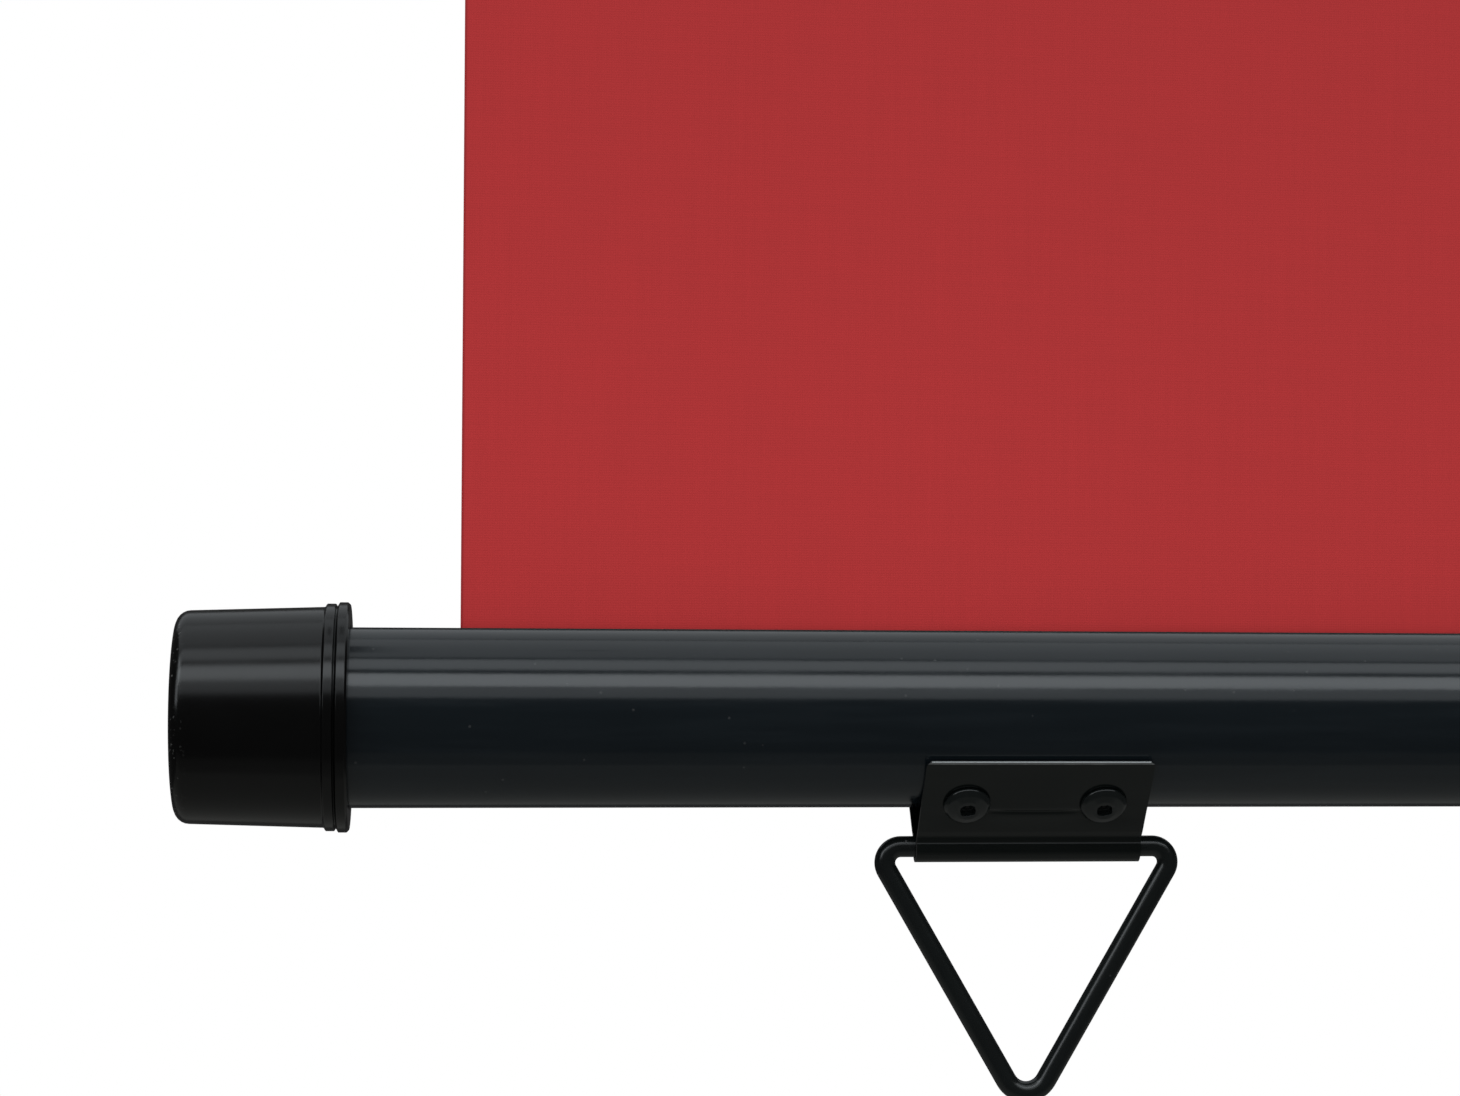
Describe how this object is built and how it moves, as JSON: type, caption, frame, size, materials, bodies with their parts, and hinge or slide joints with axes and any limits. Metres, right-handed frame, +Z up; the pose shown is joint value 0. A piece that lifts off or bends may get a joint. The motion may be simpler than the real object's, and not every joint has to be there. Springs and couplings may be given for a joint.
{
  "type": "roller awning with pull-down bar",
  "caption": "Spring roller awning: wall-hung cassette, red cloth drawn down by a round bottom bar with end caps and triangular pull handles.",
  "frame": {"origin": "on the wall plane, at the middle of the two wall brackets' screw line", "axes": "+X along the bar to the right as seen from the front, +Y into the wall, +Z up; the front faces -Y"},
  "size_m": [0.5952, 0.0784, 0.4294],
  "materials": {
    "cassette_housing": "anthracite powder coat, satin",
    "cassette_cheek_l": "moulded, fine satin",
    "cassette_cheek_r": "moulded, fine satin",
    "wall_bracket_l": "powder coated steel strip",
    "wall_bracket_r": "powder coated steel strip",
    "bracket_screw_l": "zinc plated",
    "bracket_screw_r": "zinc plated",
    "cheek_screw_l1": "zinc plated",
    "cheek_screw_l2": "zinc plated",
    "cheek_screw_r1": "zinc plated",
    "cheek_screw_r2": "zinc plated",
    "spindle_l": "drawn bar",
    "idle_pin_r": "drawn bar",
    "spring_anchor": "moulded",
    "torsion_spring": "oiled spring wire",
    "cloth_sheet": "plain woven awning cloth, matte",
    "roller_tube": "galvanised tube",
    "cloth_roll": "plain woven awning cloth, matte",
    "roller_plug_l": "moulded",
    "roller_plug_r": "moulded",
    "bar_tube": "anthracite powder coat, glossy",
    "keder_rod": "extruded rod",
    "bar_cap_l": "moulded, glossy",
    "bar_cap_r": "moulded, glossy",
    "handle_bracket_l": "black coated steel sheet",
    "handle_bracket_r": "black coated steel sheet",
    "pull_handle_l": "black coated steel wire",
    "pull_handle_r": "black coated steel wire",
    "rivet_l1": "black coated blind rivet",
    "rivet_l2": "black coated blind rivet",
    "rivet_l3": "black coated blind rivet",
    "rivet_l4": "black coated blind rivet",
    "rivet_r1": "black coated blind rivet",
    "rivet_r2": "black coated blind rivet",
    "rivet_r3": "black coated blind rivet",
    "rivet_r4": "black coated blind rivet"
  },
  "bodies": {
    "cassette_body": {"cassette_housing": "cassette_housing", "cassette_cheek_l": "cassette_cheek_l", "cassette_cheek_r": "cassette_cheek_r", "wall_bracket_l": "wall_bracket_l", "wall_bracket_r": "wall_bracket_r", "bracket_screw_l": "bracket_screw_l", "bracket_screw_r": "bracket_screw_r", "cheek_screw_l1": "cheek_screw_l1", "cheek_screw_l2": "cheek_screw_l2", "cheek_screw_r1": "cheek_screw_r1", "cheek_screw_r2": "cheek_screw_r2", "spindle_l": "spindle_l", "idle_pin_r": "idle_pin_r", "spring_anchor": "spring_anchor", "torsion_spring": "torsion_spring", "cloth_sheet": "cloth_sheet"},
    "roller_body": {"roller_tube": "roller_tube", "cloth_roll": "cloth_roll", "roller_plug_l": "roller_plug_l", "roller_plug_r": "roller_plug_r"},
    "bar_body": {"bar_tube": "bar_tube", "keder_rod": "keder_rod", "bar_cap_l": "bar_cap_l", "bar_cap_r": "bar_cap_r", "handle_bracket_l": "handle_bracket_l", "handle_bracket_r": "handle_bracket_r", "rivet_l1": "rivet_l1", "rivet_l2": "rivet_l2", "rivet_l3": "rivet_l3", "rivet_l4": "rivet_l4", "rivet_r1": "rivet_r1", "rivet_r2": "rivet_r2", "rivet_r3": "rivet_r3", "rivet_r4": "rivet_r4"},
    "handle_l_body": {"pull_handle_l": "pull_handle_l"},
    "handle_r_body": {"pull_handle_r": "pull_handle_r"}
  },
  "joints": [
    {"name": "bar_slide", "type": "slide", "parent": "cassette_body", "child": "bar_body", "axis": [0, 0, -1], "range_m": [-0.253, 1.66], "stiffness_N_per_m": 16.4, "springref_m": -0.25, "deforming": ["cloth_sheet"]},
    {"name": "roller_spin", "type": "hinge", "parent": "cassette_body", "child": "roller_body", "pos_m": [0, -0.0314, 0.0107], "axis": [1, 0, 0], "continuous": true},
    {"name": "handle_l_swing", "type": "hinge", "parent": "bar_body", "child": "handle_l_body", "pos_m": [-0.118, -0.0543, -0.3267], "axis": [1, 0, 0], "range_deg": [-110, 60]},
    {"name": "handle_r_swing", "type": "hinge", "parent": "bar_body", "child": "handle_r_body", "pos_m": [0.118, -0.0543, -0.3267], "axis": [1, 0, 0], "range_deg": [-110, 60]}
  ],
  "couplings": [
    {"joint": "roller_spin", "follows": "bar_slide", "rad_per_m": 53.2}
  ]
}
